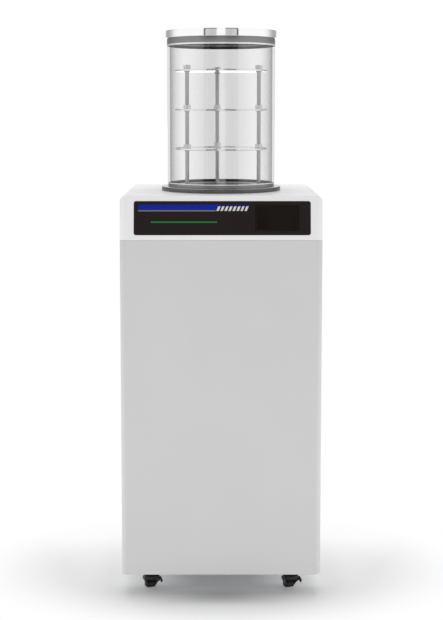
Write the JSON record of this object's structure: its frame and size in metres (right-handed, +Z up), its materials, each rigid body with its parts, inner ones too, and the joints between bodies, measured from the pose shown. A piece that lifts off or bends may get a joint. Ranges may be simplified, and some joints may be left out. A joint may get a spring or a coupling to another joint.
{
  "type": "laboratory freeze dryer",
  "caption": "Floor-standing laboratory freeze dryer: white cabinet on casters with a leaning black console, and a clear chamber of round trays under a steel lid on its deck.",
  "frame": {"origin": "centre of the bounding box at floor level", "axes": "+Z up, the console faces -Y, +X is to the right as seen from the front"},
  "size_m": [0.45, 0.46, 1.282],
  "materials": {
    "white_paint": "smooth satin powder coat",
    "galvanised_steel": "galvanised sheet",
    "console_black": "semi-gloss black",
    "screen": "glossy black",
    "circuit_board": "solder-masked board",
    "zinc": "zinc plated",
    "compressor_black": "gloss black paint on the shell",
    "black_rubber": "matte",
    "bare_aluminium": "plain fins",
    "motor_grey": "painted",
    "fan_plastic": "moulded",
    "copper": "drawn copper",
    "foam": "foamed in place",
    "satin_stainless": "satin",
    "gauge_steel": "satin",
    "brass": "turned",
    "black_plastic": "moulded",
    "hose": "silicone",
    "red_handle": "dipped",
    "red_rocker": "moulded",
    "box_grey": "moulded",
    "clear_acrylic": "clear and polished",
    "polished_stainless": "polished",
    "caster_black": "black paint",
    "wheel_black": "hard rubber"
  },
  "bodies": {
    "cabinet": {"base_plate": "galvanised_steel", "corner_posts": "galvanised_steel", "deck_rails": "galvanised_steel", "front_panel": "white_paint", "left_side_panel": "white_paint", "right_side_panel": "white_paint", "rear_panel": "white_paint", "top_housing": "white_paint", "console_plate": "console_black", "touch_screen": "screen", "control_board": "circuit_board", "panel_screws": "zinc", "compressor": "compressor_black", "compressor_mounts": "black_rubber", "compressor_bolts": "zinc", "condenser": "bare_aluminium", "fan_shroud": "galvanised_steel", "fan_motor": "motor_grey", "filter_drier": "copper", "discharge_line": "copper", "liquid_line": "copper", "suction_line": "copper", "trap_coil": "copper", "trap_foam": "foam", "trap_cup": "satin_stainless", "vacuum_port": "satin_stainless", "vacuum_gauge": "gauge_steel", "vent_valve": "brass", "drain_hose": "hose", "drain_valve": "brass", "power_inlet": "black_plastic", "power_switch": "black_plastic", "electrical_box": "box_grey", "chamber_flange": "satin_stainless", "base_gasket": "black_rubber", "chamber_tube": "clear_acrylic", "lid_seal": "black_rubber", "chamber_lid": "polished_stainless", "rack_base": "satin_stainless", "rack_rods": "satin_stainless", "rack_collars": "satin_stainless", "tray_1": "satin_stainless", "tray_2": "satin_stainless", "tray_3": "satin_stainless", "caster_plates": "zinc", "caster_bolts": "zinc"},
    "fan": {"fan_rotor": "fan_plastic"},
    "vent_handwheel": {"vent_knob": "black_plastic"},
    "drain_handle": {"drain_lever": "red_handle"},
    "rocker": {"switch_rocker": "red_rocker"},
    "caster_fl": {"caster_fork_fl": "caster_black"},
    "wheel_fl": {"caster_wheel_fl": "wheel_black"},
    "caster_fr": {"caster_fork_fr": "caster_black"},
    "wheel_fr": {"caster_wheel_fr": "wheel_black"},
    "caster_rl": {"caster_fork_rl": "caster_black"},
    "wheel_rl": {"caster_wheel_rl": "wheel_black"},
    "caster_rr": {"caster_fork_rr": "caster_black"},
    "wheel_rr": {"caster_wheel_rr": "wheel_black"},
    "brake_fl": {"brake_lever_fl": "caster_black"},
    "brake_fr": {"brake_lever_fr": "caster_black"}
  },
  "joints": [
    {"name": "fan_spin", "type": "hinge", "parent": "cabinet", "child": "fan", "pos_m": [0, 0.107, 0.171], "axis": [0, 1, 0], "continuous": true},
    {"name": "vent_turn", "type": "hinge", "parent": "cabinet", "child": "vent_handwheel", "pos_m": [-0.07, 0.214, 0.865], "axis": [0, 1, 0], "range_deg": [0, 270]},
    {"name": "drain_turn", "type": "hinge", "parent": "cabinet", "child": "drain_handle", "pos_m": [-0.17, 0.202, 0.11], "axis": [0, 0, 1], "range_deg": [-90, 0]},
    {"name": "rocker_tilt", "type": "hinge", "parent": "cabinet", "child": "rocker", "pos_m": [0.165, 0.1895, 0.165], "axis": [1, 0, 0], "range_deg": [0, 14]},
    {"name": "swivel_fl", "type": "hinge", "parent": "cabinet", "child": "caster_fl", "pos_m": [-0.16, -0.184, 0.04], "axis": [0, 0, 1], "continuous": true},
    {"name": "swivel_fr", "type": "hinge", "parent": "cabinet", "child": "caster_fr", "pos_m": [0.16, -0.184, 0.04], "axis": [0, 0, 1], "continuous": true},
    {"name": "swivel_rl", "type": "hinge", "parent": "cabinet", "child": "caster_rl", "pos_m": [-0.16, 0.144, 0.04], "axis": [0, 0, 1], "continuous": true},
    {"name": "swivel_rr", "type": "hinge", "parent": "cabinet", "child": "caster_rr", "pos_m": [0.16, 0.144, 0.04], "axis": [0, 0, 1], "continuous": true},
    {"name": "roll_fl", "type": "hinge", "parent": "caster_fl", "child": "wheel_fl", "pos_m": [-0.16308, -0.17554, 0.009], "axis": [0.9397, 0.342, 0], "continuous": true},
    {"name": "roll_fr", "type": "hinge", "parent": "caster_fr", "child": "wheel_fr", "pos_m": [0.15692, -0.17554, 0.009], "axis": [0.9397, 0.342, 0], "continuous": true},
    {"name": "roll_rl", "type": "hinge", "parent": "caster_rl", "child": "wheel_rl", "pos_m": [-0.16308, 0.15246, 0.009], "axis": [0.9397, 0.342, 0], "continuous": true},
    {"name": "roll_rr", "type": "hinge", "parent": "caster_rr", "child": "wheel_rr", "pos_m": [0.15692, 0.15246, 0.009], "axis": [0.9397, 0.342, 0], "continuous": true},
    {"name": "brake_fl_lift", "type": "hinge", "parent": "caster_fl", "child": "brake_fl", "pos_m": [-0.14041, -0.18432, 0.025], "axis": [0.9397, 0.342, 0], "range_deg": [-20, 0]},
    {"name": "brake_fr_lift", "type": "hinge", "parent": "caster_fr", "child": "brake_fr", "pos_m": [0.17959, -0.18432, 0.025], "axis": [0.9397, 0.342, 0], "range_deg": [-20, 0]}
  ]
}
